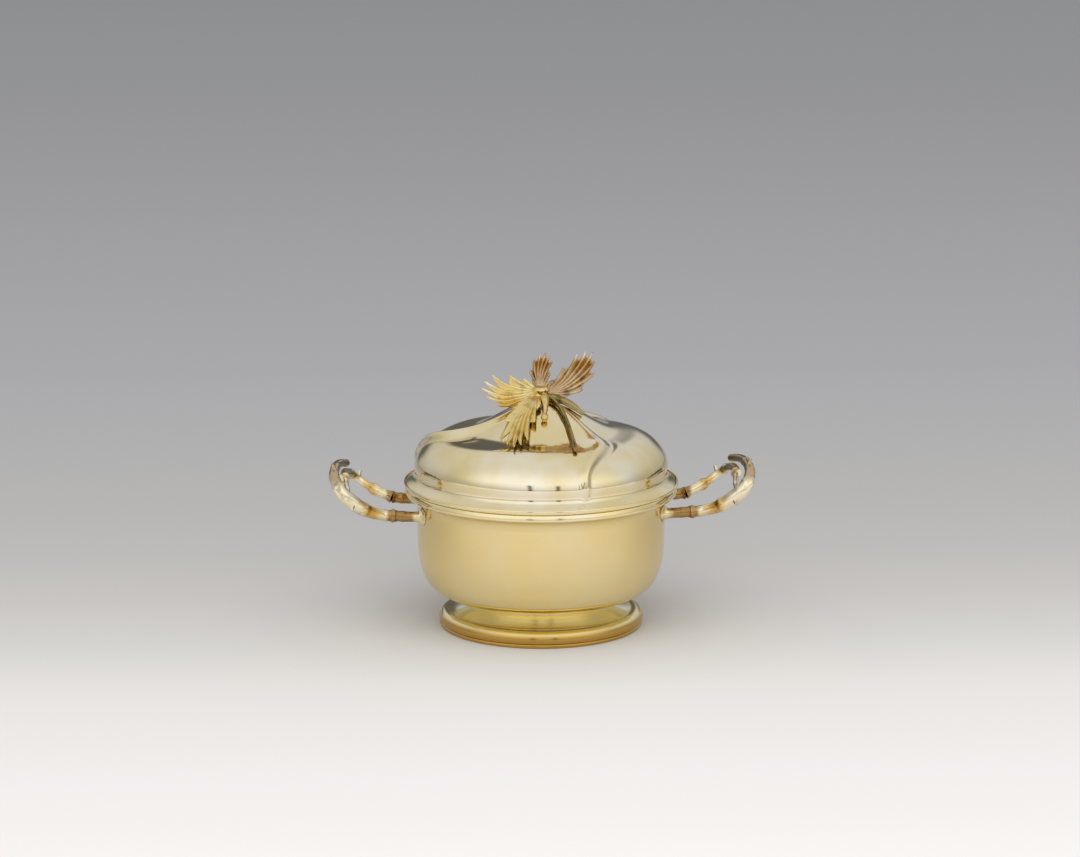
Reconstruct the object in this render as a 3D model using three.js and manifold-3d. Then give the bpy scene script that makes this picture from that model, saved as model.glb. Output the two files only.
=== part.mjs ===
// A small covered box of silver-gilt: a raised bowl on a spreading foot, two handles of entwined
// branches, and a lift-off domed lid with swirling ribs and a cast sprig of leaves as its finial.
// Millimetres, +Z up. The origin is the middle of the foot's base, and +X runs to the right handle.
// A bearing is an angle round the axis, in degrees, from the front (-Y) towards the right (+X).

import * as THREE from "three";
import { mergeVertices } from "three/addons/utils/BufferGeometryUtils.js";
import Module from "manifold-3d";

const wasm = await Module();
wasm.setup();

const { MathUtils, Vector2, Vector3 } = THREE;

// Metal thickness and the solder joints between pieces
const SHEET = 1.0;
const FOOT_SHEET = 0.9;
const SEAT_GAP = 0.1;
const RING_GAP = 0.15;
const CAST_GAP = 0.3;

// Facets
const SIDES = 48;
const SMALL_SIDES = 12;
const BRANCH_STEPS = 22;

// Foot
const FOOT_HEIGHT = 11.2;
const NECK_RADIUS = 27.0;
const NECK_WIRE = 1.3;
const LEDGE_WIDTH = 6.0;
const LEDGE_HEIGHT = 6.3;
const FOOT_SPREAD = 5.8;
const BASE_WIRE_HEIGHT = 1.5;
const BASE_WIRE_WIDTH = 2.0;

// Bowl
const BODY_RADIUS = 47.0;
const BELLY_RISE = 26.0;
const BELLY_TURN = 5.4;
const WALL_HEIGHT = 11.9;
const LIP_OVERHANG = 3.8;
const LIP_SEAT = 1.2;
const LIP_RISE = 4.0;
const MOUTH_WIRE = 0.75;

// Lid
const DOME_STEP = 0.8;
const FLANGE_OVERHANG = 3.6;
const FLANGE_RISE = 3.1;
const SHOULDER_INSET = 10.3;
const SHOULDER_RISE = 14.9;
const SHOULDER_SLOPE = 0.29;
const CROWN_MARGIN = 0.4;
const CROWN_RISE = 28.3;
const CROWN_SLOPE = 0.56;
const LID_WIRE = 0.6;
const LID_WIRE_HEIGHT = 1.6;

// Bezel, the ring inside the lid that drops into the mouth
const BEZEL_SHEET = 0.8;
const BEZEL_PLAY = 0.4;
const BEZEL_DROP = 5.6;
const BEZEL_ROOT = 5.6;

// Swirling ribs of the lid
const RIBS = 3;
const RIB_BEARING = 17;
const RIB_SWIRL = 18;
const RIB_CURL = 30;
const RIB_HEIGHT = 2.1;
const RIB_HALF_WIDTH = 5.2;
const RIB_FOOT_HALF_WIDTH = 1.9;
const PANEL_SWELL = 0.9;

// Handles: roots, and a loop of two entwined branches with a twig between them
const ROOT_DROP = 8.2;
const ROOT_SPREAD_SHARE = 0.636;
const ROOT_LENGTH = 9.0;
const ROOT_RADIUS = 2.1;
const HANDLE_REACH = 31.2;
const HANDLE_RISE = 16.6;
const LOOP_HALF_WIDTH = 19.5;
const FRONT_BRANCH_RADIUS = 2.45;
const BACK_BRANCH_RADIUS = 1.95;
const TWIG_RADIUS = 1.2;

// Finial: knop, stud, washer and nut, with the leaves and shoots of the sprig
const KNOP_RADIUS = 3.8;
const KNOP_HEIGHT = 5.6;
const STUD_RADIUS = 1.3;
const STUD_SOCKET = 2.4;
const STUD_TAIL = 1.2;
const WASHER_RADIUS = 4.4;
const WASHER_SHEET = 0.8;
const NUT_WIDTH = 6.0;
const NUT_HEIGHT = 2.6;
const HOLE_PLAY = 0.3;
const SPRIG_REACH = 22.8;
const LEAF_SHEET = 1.1;
const LEAF_FLUTE = 0.45;
const BUD_RADIUS = 1.5;
const SHOOT_RADIUS = 1.0;

// Heights that follow from the sizes above
const BOWL_BASE = FOOT_HEIGHT + SEAT_GAP;
const BELLY_TOP = BOWL_BASE + BELLY_RISE;
const WALL_TOP = BELLY_TOP + WALL_HEIGHT;
const LIP_UNDERSIDE = WALL_TOP + LIP_RISE;
const ROOT_HEIGHT = LIP_UNDERSIDE - ROOT_DROP;
const MOUTH_HEIGHT = LIP_UNDERSIDE + SHEET;
const FLANGE_TOP = MOUTH_HEIGHT + SEAT_GAP + SHEET;
const CREASE_HEIGHT = FLANGE_TOP + FLANGE_RISE;
const SHOULDER_HEIGHT = CREASE_HEIGHT + SHOULDER_RISE;
const LID_TOP = CREASE_HEIGHT + CROWN_RISE;

// Radii that follow from them
const LEDGE_RADIUS = NECK_RADIUS + LEDGE_WIDTH;
const BASE_RADIUS = LEDGE_RADIUS + FOOT_SPREAD;
const MOUTH_RADIUS = BODY_RADIUS - SHEET;
const LIP_RADIUS = BODY_RADIUS + LIP_OVERHANG;
const DOME_RADIUS = BODY_RADIUS + DOME_STEP;
const FLANGE_RADIUS = DOME_RADIUS + FLANGE_OVERHANG;
const SHOULDER_RADIUS = DOME_RADIUS - SHOULDER_INSET;
const CROWN_RADIUS = Math.max(KNOP_RADIUS, WASHER_RADIUS) + CROWN_MARGIN;
const ROOT_SPREAD = LOOP_HALF_WIDTH * ROOT_SPREAD_SHARE;

const silverGilt = (color, roughness) => ({ color, roughness, metalness: 1 });
const FINISH = {
  raised: silverGilt(0xe0c787, 0.22),
  lid: silverGilt(0xdcc98f, 0.16),
  cast: silverGilt(0xd9b866, 0.3),
  wire: silverGilt(0xe3ca85, 0.2),
  inside: silverGilt(0xd8c48c, 0.35),
};

const part = new THREE.Group();

function addMesh(name, geometry, finish) {
  const mesh = new THREE.Mesh(geometry, new THREE.MeshStandardMaterial(finish));
  mesh.name = name;
  part.add(mesh);
}

// Profiles are lists of Vector2 (radius, height), from the foot of a form to its top.
const at = (radius, height) => new Vector2(radius, height);

function bezier(steps, ...controls) {
  const Curve = controls.length === 3 ? THREE.QuadraticBezierCurve : THREE.CubicBezierCurve;
  return new Curve(...controls).getPoints(steps);
}

function profileNormals(points) {
  return points.map((point, i) => {
    const before = points[Math.max(i - 1, 0)];
    const after = points[Math.min(i + 1, points.length - 1)];
    const along = after.clone().sub(before).normalize();
    return at(along.y, -along.x);
  });
}

// The same profile moved in from its outer side by a sheet's thickness.
function insideOf(points, sheet) {
  const normals = profileNormals(points);
  return points.map((point, i) => point.clone().addScaledVector(normals[i], -sheet));
}

function shellProfile(outer, sheet) {
  const closed = [...outer, ...insideOf(outer, sheet).reverse()];
  return outer[0].x === 0 ? closed : [...closed, outer[0]];
}

function revolve(profile, sides = SIDES) {
  return new THREE.LatheGeometry(profile, sides).rotateX(Math.PI / 2);
}

function ring(inner, outer, low, high) {
  return [at(inner, low), at(outer, low), at(outer, high), at(inner, high), at(inner, low)];
}

// A wire applied round an edge: flat where it is soldered, rounded outside.
function wireProfile(inner, width, low, high) {
  const belly = (rise, out) => at(inner + width * out, MathUtils.lerp(low, high, rise));
  return [at(inner, low), belly(0, 0.6), belly(0.5, 1), belly(1, 0.6), at(inner, high), at(inner, low)];
}

function meshOf(points, faces) {
  const geometry = new THREE.BufferGeometry().setFromPoints(points);
  geometry.setIndex(faces);
  geometry.computeVertexNormals();
  return geometry;
}

// Solids for cutting one piece to fit another.
function solidOf(geometry) {
  const bare = geometry.clone();
  bare.deleteAttribute("normal");
  bare.deleteAttribute("uv");
  const merged = mergeVertices(bare, 1e-4);
  return new wasm.Manifold(
    new wasm.Mesh({
      numProp: 3,
      vertProperties: new Float32Array(merged.attributes.position.array),
      triVerts: new Uint32Array(merged.index.array),
    }),
  );
}

function cut(geometry, ...tools) {
  const rest = tools.reduce((solid, tool) => solid.subtract(solidOf(tool)), solidOf(geometry));
  const mesh = rest.getMesh();
  const cutGeometry = new THREE.BufferGeometry();
  cutGeometry.setAttribute("position", new THREE.BufferAttribute(mesh.vertProperties, 3));
  cutGeometry.setIndex(new THREE.BufferAttribute(mesh.triVerts, 1));
  cutGeometry.computeVertexNormals();
  return cutGeometry;
}

// Faces that join loops of points, each loop to the one after it.
function bandFaces(loops, size, closed) {
  const faces = [];
  for (let loop = 0; loop + (closed ? 0 : 1) < loops; loop++) {
    const a = loop * size;
    const b = ((loop + 1) % loops) * size;
    for (let i = 0; i < size; i++) {
      const next = (i + 1) % size;
      faces.push(a + i, a + next, b + i, a + next, b + next, b + i);
    }
  }
  return faces;
}

// A stem: loops of points along its length, closed by a fan at each end.
function stemSkin(loops) {
  const size = loops[0].length;
  const points = loops.flat();
  const faces = bandFaces(loops.length, size, false);
  const middle = (loop) => loop.reduce((sum, p) => sum.add(p), new Vector3()).divideScalar(size);
  const last = (loops.length - 1) * size;
  const start = points.push(middle(loops[0])) - 1;
  const end = points.push(middle(loops[loops.length - 1])) - 1;
  for (let i = 0; i < size; i++) {
    const next = (i + 1) % size;
    faces.push(start, next, i, end, last + i, last + next);
  }
  return meshOf(points, faces);
}

// A sheet: an upper and a lower grid of points, row by row, closed round their border.
function sheetSkin(upper, lower) {
  const rows = upper.length;
  const columns = upper[0].length;
  const under = rows * columns;
  const index = (row, column) => row * columns + column;
  const faces = [];
  for (let row = 0; row + 1 < rows; row++) {
    for (let column = 0; column + 1 < columns; column++) {
      const [a, b] = [index(row, column), index(row, column + 1)];
      const [d, e] = [index(row + 1, column), index(row + 1, column + 1)];
      faces.push(a, b, d, b, e, d);
      faces.push(under + a, under + d, under + b, under + b, under + d, under + e);
    }
  }
  const border = [];
  for (let column = 0; column + 1 < columns; column++) border.push(index(0, column));
  for (let row = 0; row + 1 < rows; row++) border.push(index(row, columns - 1));
  for (let column = columns - 1; column > 0; column--) border.push(index(rows - 1, column));
  for (let row = rows - 1; row > 0; row--) border.push(index(row, 0));
  border.forEach((here, i) => {
    const next = border[(i + 1) % border.length];
    faces.push(next, here, under + here, next, under + here, under + next);
  });
  return meshOf([...upper.flat(), ...lower.flat()], faces);
}

// A round stem along a curve, from share `from` to share `to` of its length. `swell` makes it
// stouter and longer, as room for a neighbour.
function stem(curve, { from = 0, to = 1, steps, sides = 8, radius, swell = 0 }) {
  const frames = curve.computeFrenetFrames(steps, false);
  const loop = (share, thickness) => {
    const along = MathUtils.lerp(from, to, share);
    const frame = Math.round(along * steps);
    const beyond = share === 0 ? -swell : share === 1 ? swell : 0;
    const centre = curve.getPointAt(along).addScaledVector(curve.getTangentAt(along), beyond);
    return Array.from({ length: sides }, (_, i) => {
      const turn = (2 * Math.PI * i) / sides;
      const spoke = frames.normals[frame].clone().multiplyScalar(Math.cos(turn));
      spoke.addScaledVector(frames.binormals[frame], Math.sin(turn));
      return centre.clone().addScaledVector(spoke, thickness + swell);
    });
  };
  const endRound = 0.15 / steps;
  const loops = [loop(0, radius(0) * 0.75), loop(endRound, radius(0))];
  for (let i = 1; i < steps; i++) loops.push(loop(i / steps, radius(i / steps)));
  loops.push(loop(1 - endRound, radius(1)), loop(1, radius(1) * 0.75));
  return stemSkin(loops);
}

const bump = (share, place, width) => Math.exp(-(((share - place) / width) ** 2));

// Bowl
function bowlOutline() {
  const lipStart = LIP_RADIUS - LIP_SEAT;
  return [
    at(0, BOWL_BASE),
    ...bezier(
      6,
      at(NECK_RADIUS, BOWL_BASE),
      at(BODY_RADIUS - BELLY_TURN, BOWL_BASE),
      at(BODY_RADIUS, BOWL_BASE + BELLY_TURN),
      at(BODY_RADIUS, BELLY_TOP),
    ),
    ...bezier(3, at(BODY_RADIUS, WALL_TOP), at(BODY_RADIUS, LIP_UNDERSIDE), at(lipStart, LIP_UNDERSIDE)),
    at(LIP_RADIUS, LIP_UNDERSIDE),
  ];
}

function addBowl() {
  addMesh("bowl", revolve(shellProfile(bowlOutline(), SHEET)), FINISH.raised);
  const mouthWire = wireProfile(LIP_RADIUS + RING_GAP, MOUTH_WIRE, LIP_UNDERSIDE, MOUTH_HEIGHT);
  addMesh("mouth_wire", revolve(mouthWire), FINISH.wire);
}

// Foot
function footOutline() {
  const base = at(BASE_RADIUS - CAST_GAP, BASE_WIRE_HEIGHT + SEAT_GAP);
  const edge = base.clone().setY(base.y + FOOT_SHEET);
  const ledge = at(LEDGE_RADIUS, LEDGE_HEIGHT);
  const neck = at(NECK_RADIUS, FOOT_HEIGHT - NECK_WIRE);
  return [
    base,
    ...bezier(4, edge, at(edge.x, LEDGE_HEIGHT), ledge),
    ...bezier(3, ledge, at(NECK_RADIUS, LEDGE_HEIGHT), neck).slice(1),
    at(NECK_RADIUS, FOOT_HEIGHT),
  ];
}

function addFoot() {
  addMesh("foot", revolve(shellProfile(footOutline(), FOOT_SHEET)), FINISH.raised);
  const baseWire = wireProfile(BASE_RADIUS - BASE_WIRE_WIDTH, BASE_WIRE_WIDTH, 0, BASE_WIRE_HEIGHT);
  addMesh("base_wire", revolve(baseWire), FINISH.wire);
  const neckWire = wireProfile(NECK_RADIUS + RING_GAP, NECK_WIRE, FOOT_HEIGHT - NECK_WIRE, FOOT_HEIGHT);
  addMesh("neck_wire", revolve(neckWire), FINISH.wire);
}

// Lid
function flangeOutline() {
  const start = at(FLANGE_RADIUS - LIP_SEAT, FLANGE_TOP);
  const crease = at(DOME_RADIUS, CREASE_HEIGHT);
  return [at(FLANGE_RADIUS, FLANGE_TOP), ...bezier(3, start, at(DOME_RADIUS, FLANGE_TOP), crease)];
}

// The dome swells a little above its crease, turns over at the shoulder and runs up to the crown.
function domeOutline() {
  const crease = at(DOME_RADIUS, CREASE_HEIGHT);
  const shoulder = at(SHOULDER_RADIUS, SHOULDER_HEIGHT);
  const crown = at(CROWN_RADIUS, LID_TOP);
  const swell = at(DOME_RADIUS + 0.8, MathUtils.lerp(CREASE_HEIGHT, SHOULDER_HEIGHT, 0.5));
  const pitch = at(1, -SHOULDER_SLOPE).multiplyScalar(SHOULDER_RADIUS / 5);
  const approach = at(1, -CROWN_SLOPE).multiplyScalar(SHOULDER_RADIUS / 4);
  return [
    ...bezier(6, crease, swell, shoulder.clone().add(pitch), shoulder),
    ...bezier(6, shoulder, shoulder.clone().sub(pitch), crown.clone().add(approach), crown).slice(1),
  ];
}

function ribBearing(radius) {
  const inward = 1 - radius / DOME_RADIUS;
  return RIB_BEARING + RIB_SWIRL * MathUtils.smoothstep(inward, 0, 0.32) + RIB_CURL * inward ** 2;
}

// Half the rib's width, as an angle.
function ribHalfAngle(radius) {
  const spread = MathUtils.smoothstep(DOME_RADIUS - radius, 0, DOME_RADIUS / 4);
  const taper = Math.min(1, radius / (SHOULDER_RADIUS * 0.8));
  const halfWidth = MathUtils.lerp(RIB_FOOT_HALF_WIDTH, RIB_HALF_WIDTH, spread) * taper;
  return MathUtils.radToDeg(halfWidth / radius);
}

// The rib's height, which fades at the crease and at the crown.
function ribRise(radius, height) {
  const offCrease = MathUtils.smoothstep(height, CREASE_HEIGHT, SHOULDER_HEIGHT - SHEET);
  const offCrown = MathUtils.smoothstep(radius, CROWN_RADIUS, SHOULDER_RADIUS);
  const fade = Math.min(MathUtils.lerp(0.3, 1, offCrease), MathUtils.lerp(0.15, 1, offCrown));
  const start = MathUtils.smoothstep(height, CREASE_HEIGHT - SHEET, CREASE_HEIGHT + SHEET);
  const end = MathUtils.smoothstep(radius, CROWN_RADIUS, CROWN_RADIUS * 2);
  return RIB_HEIGHT * fade * start * end;
}

// The swell of the panels between the ribs, which is fullest at the shoulder.
function panelRise(radius, height) {
  const foot = MathUtils.smoothstep(height, CREASE_HEIGHT, SHOULDER_HEIGHT);
  return PANEL_SWELL * Math.min(foot, MathUtils.smoothstep(radius, CROWN_RADIUS * 2, SHOULDER_RADIUS));
}

const polar = (radius, bearing, height) => {
  const turn = MathUtils.degToRad(bearing);
  return new Vector3(radius * Math.sin(turn), -radius * Math.cos(turn), height);
};

// The lid is a grid whose upright lines follow the swirl, closest together on the ribs. The ribs are
// chased in the sheet, so they are hollow on the inside.
const RIB_LINES = [-1, -0.5, 0, 0.5, 1];
const PANEL_LINES = [-0.8, -0.6, -0.4, -0.2, 0, 0.2, 0.4, 0.6, 0.8];

function lidShell() {
  const hole = at(STUD_RADIUS + HOLE_PLAY, LID_TOP);
  const outer = [...flangeOutline(), ...domeOutline().slice(1), hole];
  const inner = insideOf(outer, SHEET);
  const normals = profileNormals(outer);
  const pitch = 360 / RIBS;
  const loopAt = (point, i) => {
    const { x: radius, y: height } = outer[i];
    const halfAngle = ribHalfAngle(radius);
    const halfPanel = pitch / 2 - halfAngle;
    const loop = [];
    const addPoint = (bearing, rise) => {
      const lifted = point.clone().addScaledVector(normals[i], rise);
      loop.push(polar(lifted.x, bearing, lifted.y));
    };
    for (let rib = 0; rib < RIBS; rib++) {
      const centre = ribBearing(radius) + rib * pitch;
      for (const line of RIB_LINES) {
        addPoint(centre + line * halfAngle, ribRise(radius, height) * (1 - line ** 2));
      }
      for (const line of PANEL_LINES) {
        addPoint(centre + pitch / 2 + line * halfPanel, panelRise(radius, height) * (1 - line ** 2));
      }
    }
    return loop;
  };
  const loops = [...outer.map(loopAt), ...inner.map(loopAt).reverse()];
  return meshOf(loops.flat(), bandFaces(loops.length, loops[0].length, true));
}

function bezelOutline() {
  const skirt = MOUTH_RADIUS - BEZEL_PLAY;
  const collar = DOME_RADIUS - SHEET - CAST_GAP;
  const step = collar - skirt;
  return [
    at(skirt, MOUTH_HEIGHT - BEZEL_DROP),
    at(skirt, FLANGE_TOP),
    at(collar, FLANGE_TOP + step),
    at(collar, FLANGE_TOP + BEZEL_ROOT - step),
  ];
}

function addLid() {
  addMesh("lid_shell", lidShell(), FINISH.lid);
  const wireFoot = MOUTH_HEIGHT + SEAT_GAP;
  const edgeWire = wireProfile(FLANGE_RADIUS + RING_GAP, LID_WIRE, wireFoot, wireFoot + LID_WIRE_HEIGHT);
  addMesh("lid_edge_wire", revolve(edgeWire), FINISH.wire);
  addMesh("lid_bezel", revolve(shellProfile(bezelOutline(), BEZEL_SHEET)), FINISH.inside);
}

// A point above the lid's outer face. Where `reach` is given, it clears any rise that near.
const DOME = [...domeOutline(), at(0, LID_TOP)];

function onLid(radius, bearing, lift, reach = 0) {
  const i = DOME.findIndex((point) => point.x < radius);
  const [below, above] = [DOME[i - 1], DOME[i]];
  const height = MathUtils.mapLinear(radius, below.x, above.x, below.y, above.y);
  const pitch = 360 / RIBS;
  const reachAngle = MathUtils.radToDeg(reach / radius);
  const rises = [-1, 0, 1].map((side) => {
    const turned = MathUtils.euclideanModulo(bearing + side * reachAngle - ribBearing(radius), pitch);
    const fromPanel = Math.abs(turned - pitch / 2);
    const fromRib = pitch / 2 - fromPanel;
    const onRib = 1 - (fromRib / ribHalfAngle(radius)) ** 2;
    const onPanel = 1 - (fromPanel / (pitch / 2 - ribHalfAngle(radius))) ** 2;
    return onRib > 0 ? onRib * ribRise(radius, height) : onPanel * panelRise(radius, height);
  });
  return polar(radius, bearing, height + Math.max(...rises) + lift);
}

// Handles. The roots run straight out from the body. Beyond them a place is given by shares: out
// from the body, across from the handle's middle to its side, and up from the root.
const place = (out, across, up) =>
  new Vector3(BODY_RADIUS + out * HANDLE_REACH, -across * LOOP_HALF_WIDTH, ROOT_HEIGHT + up * HANDLE_RISE);

const rootPlace = (side, length, up) =>
  new Vector3(BODY_RADIUS + length, -side * ROOT_SPREAD, ROOT_HEIGHT + up * HANDLE_RISE);

const ROOT_START = -3 * SHEET;

const BRANCHES = {
  front: {
    path: new THREE.CatmullRomCurve3([
      rootPlace(1, ROOT_START, 0),
      rootPlace(1, ROOT_LENGTH, 0.03),
      place(0.42, 0.69, 0.06),
      place(0.557, 0.795, 0.16),
      place(0.68, 0.9, 0.287),
      place(0.797, 0.975, 0.456),
      place(0.892, 1.0, 0.614),
      place(0.956, 0.923, 0.784),
      place(0.997, 0.667, 0.924),
      place(1.0, 0.36, 0.988),
      place(0.978, 0.0, 1.025),
      place(0.924, -0.31, 1.02),
      place(0.85, -0.57, 0.95),
    ]),
    radius: (share) =>
      FRONT_BRANCH_RADIUS *
      (0.94 + 0.16 * bump(share, 0, 0.04) + 0.2 * bump(share, 0.38, 0.2) + 0.08 * bump(share, 0.62, 0.03) -
        0.42 * share ** 4),
  },
  back: {
    path: new THREE.CatmullRomCurve3([
      rootPlace(-1, ROOT_START, 0.06),
      rootPlace(-1, ROOT_LENGTH, 0.11),
      place(0.47, -0.71, 0.234),
      place(0.607, -0.8, 0.368),
      place(0.712, -0.83, 0.497),
      place(0.804, -0.728, 0.66),
      place(0.864, -0.46, 0.785),
      place(0.884, -0.16, 0.81),
      place(0.872, 0.08, 0.77),
    ]),
    radius: (share) =>
      BACK_BRANCH_RADIUS *
      (0.94 + 0.18 * bump(share, 0, 0.05) + 0.12 * bump(share, 0.42, 0.05) + 0.12 * bump(share, 1, 0.12)),
  },
};

const rootShare = (branch, length) => (length - ROOT_START) / branch.path.getLength();

function rootGeometry(branch) {
  const flare = (share) => ROOT_RADIUS * (1 + 0.4 * bump(share, 0, 0.5));
  const to = rootShare(branch, ROOT_LENGTH - CAST_GAP);
  const root = stem(branch.path, { to, steps: 5, radius: flare });
  const bodyRoom = [at(0, 0), at(BODY_RADIUS + CAST_GAP, 0), at(BODY_RADIUS + CAST_GAP, MOUTH_HEIGHT)];
  return cut(root, revolve([...bodyRoom, at(0, MOUTH_HEIGHT)]));
}

function branchGeometry(branch, swell = 0) {
  const from = rootShare(branch, ROOT_LENGTH);
  return stem(branch.path, { from, steps: BRANCH_STEPS, radius: branch.radius, swell });
}

// The twig springs from under the back branch's end and runs down to the front branch.
function twigGeometry() {
  const start = BRANCHES.back.path.getPointAt(0.96).add(new Vector3(0, 0, -BACK_BRANCH_RADIUS * 0.4));
  const end = BRANCHES.front.path.getPointAt(0.4);
  const middle = start.clone().lerp(end, 0.5).add(new Vector3(0, 0, TWIG_RADIUS / 2));
  const radius = (share) => TWIG_RADIUS * (1.1 - 0.2 * share);
  return stem(new THREE.CatmullRomCurve3([start, middle, end]), { steps: 6, sides: 6, radius });
}

function mirrored(geometry) {
  const copy = geometry.clone().scale(-1, 1, 1);
  const order = copy.index.array;
  for (let i = 0; i < order.length; i += 3) [order[i + 1], order[i + 2]] = [order[i + 2], order[i + 1]];
  return copy;
}

function addHandles() {
  const frontRoom = branchGeometry(BRANCHES.front, CAST_GAP);
  const backRoom = branchGeometry(BRANCHES.back, CAST_GAP);
  const pieces = {
    front_root: rootGeometry(BRANCHES.front),
    back_root: rootGeometry(BRANCHES.back),
    front_branch: branchGeometry(BRANCHES.front),
    back_branch: cut(branchGeometry(BRANCHES.back), frontRoom),
    twig: cut(twigGeometry(), frontRoom, backRoom),
  };
  for (const [piece, geometry] of Object.entries(pieces)) {
    addMesh("right_handle_" + piece, geometry, FINISH.cast);
    addMesh("left_handle_" + piece, mirrored(geometry), FINISH.cast);
  }
}

// Finial
const KNOP_BASE = LID_TOP + SEAT_GAP;

function knopOutline(swell = 0) {
  const outline = [[1, 0], [1, 0.12], [0.74, 0.3], [0.78, 0.5], [0.92, 0.68], [0.66, 0.9]];
  return [
    ...outline.map(([out, up]) => at(KNOP_RADIUS * out + swell, KNOP_BASE + KNOP_HEIGHT * up)),
    at(0, KNOP_BASE + KNOP_HEIGHT + swell),
  ];
}

// The stud is soldered in the knop and drawn down by a square nut on a washer inside the lid.
function addFixing() {
  const bore = STUD_RADIUS + RING_GAP;
  const socketTop = KNOP_BASE + STUD_SOCKET;
  const knop = [at(0, socketTop), at(bore, socketTop), at(bore, KNOP_BASE), ...knopOutline()];
  addMesh("finial_knop", revolve(knop, SMALL_SIDES), FINISH.cast);

  const washerTop = LID_TOP - SHEET - SEAT_GAP;
  const washerFoot = washerTop - WASHER_SHEET;
  const washer = ring(bore, WASHER_RADIUS, washerFoot, washerTop);
  addMesh("finial_washer", revolve(washer, SMALL_SIDES), FINISH.inside);

  const nutFoot = washerFoot - SEAT_GAP - NUT_HEIGHT;
  const half = NUT_WIDTH / 2;
  const square = new THREE.Shape([at(-half, -half), at(half, -half), at(half, half), at(-half, half)]);
  square.holes.push(new THREE.Path().absarc(0, 0, bore, 0, 2 * Math.PI, true));
  const nutShape = { depth: NUT_HEIGHT, bevelEnabled: false, curveSegments: SMALL_SIDES };
  const nut = new THREE.ExtrudeGeometry(square, nutShape);
  addMesh("finial_nut", nut.translate(0, 0, nutFoot), FINISH.inside);

  const studTop = socketTop - SEAT_GAP;
  const length = studTop - (nutFoot - STUD_TAIL);
  const stud = new THREE.CylinderGeometry(STUD_RADIUS, STUD_RADIUS, length, SMALL_SIDES);
  addMesh("finial_stud", stud.rotateX(Math.PI / 2).translate(0, 0, studTop - length / 2), FINISH.inside);
}

// Half of a leaf's outline, from its low lobe to its tip: low lobe, notch, side lobe, notch, tip.
// Each point is a share of the length and of the half width, and a ridge (1) or a hollow (-1).
const LEAF_OUTLINE = [
  [0.4, 1.0, 1],
  [0.38, 0.6, -1],
  [0.56, 0.76, 0],
  [0.83, 0.92, 1],
  [0.75, 0.4, -1],
  [1.0, 0.0, 1],
];
const LEAF_ROWS = [0, 0.35, 0.7, 1];
const LEAF_STALK = 0.15;

// `room` makes the leaf thicker and wider, as room for a neighbour.
function leaf({ spine, across, halfWidth, cup }, room = 0) {
  const curve = new THREE.CatmullRomCurve3(spine);
  const chord = spine[spine.length - 1].clone().sub(spine[0]).normalize();
  const side = across.clone().addScaledVector(chord, -across.dot(chord)).normalize();
  const left = LEAF_OUTLINE.map(([along, out, ridge]) => [along, -out, ridge]);
  const outline = [...left, ...LEAF_OUTLINE.slice(0, -1).reverse()];
  const faceAt = (face) =>
    LEAF_ROWS.map((row) =>
      outline.map(([tipAlong, tipOut, ridge], i) => {
        const along = tipAlong * row;
        const stalk = LEAF_STALK * MathUtils.mapLinear(i, 0, outline.length - 1, -1, 1);
        const out = MathUtils.lerp(stalk, tipOut, row);
        const normal = new Vector3().crossVectors(side, curve.getTangentAt(along)).normalize();
        const flute = LEAF_FLUTE * row * ridge;
        const bend = cup * halfWidth * out ** 2;
        const halfThickness = (LEAF_SHEET / 2) * MathUtils.lerp(1.2, 0.7, row) + room;
        return curve
          .getPointAt(along)
          .addScaledVector(side, (halfWidth + room) * out)
          .addScaledVector(normal, flute + bend + face * halfThickness);
      }),
    );
  return sheetSkin(faceAt(1), faceAt(-1));
}

// The standing leaves' midribs are points from the middle of the crown, as shares of the sprig's reach.
const fromCrown = (...places) =>
  places.map((place) => new Vector3(...place).multiplyScalar(SPRIG_REACH).add(new Vector3(0, 0, LID_TOP)));

const LEAVES = {
  left_leaf: {
    spine: fromCrown([-0.08, 0.02, 0.16], [-0.35, -0.013, 0.14], [-0.66, -0.083, 0.1], [-1, -0.15, 0.18]),
    across: new Vector3(-0.06, 0.74, 0.67),
    halfWidth: SPRIG_REACH * 0.316,
    cup: 0.14,
  },
  upright_leaf: {
    spine: fromCrown([0.01, 0.035, 0.16], [-0.013, 0.105, 0.34], [-0.018, 0.114, 0.55], [0.013, 0.08, 0.8]),
    across: new Vector3(1, -0.1, 0),
    halfWidth: SPRIG_REACH * 0.22,
    cup: 0.25,
  },
  right_leaf: {
    spine: fromCrown([0.096, 0.01, 0.123], [0.386, 0.026, 0.307], [0.64, 0.035, 0.535], [0.86, 0.018, 0.816]),
    across: new Vector3(0.6, -0.2, -0.78),
    halfWidth: SPRIG_REACH * 0.246,
    cup: 0.25,
  },
  drooping_leaf: {
    spine: [
      onLid(CROWN_RADIUS / 2, -26, 1.5),
      onLid(DOME_RADIUS * 0.2, -29, 2.3),
      onLid(DOME_RADIUS * 0.38, -28, 2.8),
      onLid(DOME_RADIUS * 0.59, -23.5, 2.6),
      onLid(DOME_RADIUS * 0.8, -19, 2.0),
    ],
    across: new Vector3(-0.93, 0.36, 0),
    halfWidth: SPRIG_REACH * 0.254,
    cup: -0.06,
  },
};

// The bud and the shoot rest on the lid: share of its radius, bearing and, near the knop, a lift.
const BUD_PATH = [[0.055, 14, 0.8], [0.135, 10, 0.5], [0.226, 5], [0.347, 1]];
const SHOOT_PATH = [
  [0.055, 54, 0.6],
  [0.135, 46, 0.3],
  [0.22, 39],
  [0.31, 33],
  [0.42, 28],
  [0.59, 22],
  [0.77, 17],
];

function shoot(points, thickness, radius) {
  const rest = thickness + CAST_GAP;
  const path = points.map(([share, bearing, lift = 0]) =>
    onLid(DOME_RADIUS * share, bearing, rest + lift, thickness),
  );
  return stem(new THREE.CatmullRomCurve3(path), { steps: 10, sides: 6, radius });
}

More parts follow.
